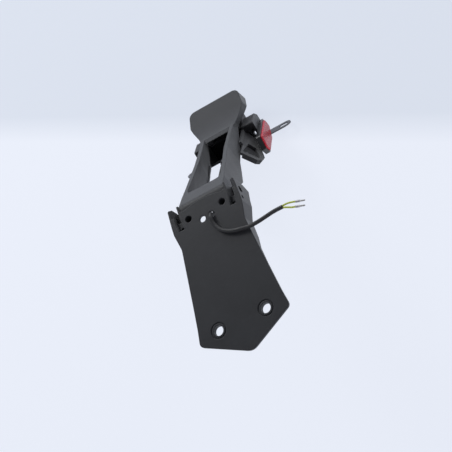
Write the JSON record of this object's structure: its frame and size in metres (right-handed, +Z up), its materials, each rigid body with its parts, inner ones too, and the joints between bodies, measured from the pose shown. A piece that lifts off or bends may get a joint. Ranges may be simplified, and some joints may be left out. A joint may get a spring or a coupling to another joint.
{
  "type": "tail tidy",
  "caption": "Moulded tail tidy for a motorbike: flat panel, sloping open arms, hood with a plate bracket, metal plate strip, side reflectors, plate lamp and its lead.",
  "frame": {"origin": "midway between the two mounting holes, on the top face of the panel", "axes": "+X across to the right, +Y rearwards from the V-shaped front to the hood, +Z up out of the panel, along the mounting holes"},
  "size_m": [0.188, 0.3909, 0.2177],
  "materials": {
    "carrier_plastic": "fine grain",
    "bracket_plastic": "fine grain",
    "strip_steel": "satin",
    "hardware": "plated",
    "reflector_housing": "smooth",
    "reflector_red": "clear red",
    "lamp_black": "smooth",
    "lamp_clear": "clear",
    "board_green": "smooth",
    "led_cream": "smooth",
    "clip_black": "smooth",
    "sheath_black": "smooth",
    "core_colour": "smooth",
    "pin_tin": "tinned"
  },
  "bodies": {
    "root": {"carrier": "carrier_plastic", "bracket": "bracket_plastic", "bracket_screws": "hardware", "plate_strip": "strip_steel", "strip_screws": "hardware", "strip_nuts": "hardware", "strip_washers": "hardware", "reflector_body_right": "reflector_housing", "reflector_body_left": "reflector_housing", "reflector_lens_right": "reflector_red", "reflector_lens_left": "reflector_red", "reflector_nuts": "hardware", "lamp_housing": "lamp_black", "lamp_lens": "lamp_clear", "lamp_board": "board_green", "lamp_leds": "led_cream", "lamp_screws": "hardware", "cable_clips": "clip_black", "cable_sheath": "sheath_black", "core_a": "core_colour", "core_b": "core_colour", "terminal_a": "pin_tin", "terminal_b": "pin_tin"}
  },
  "joints": []
}
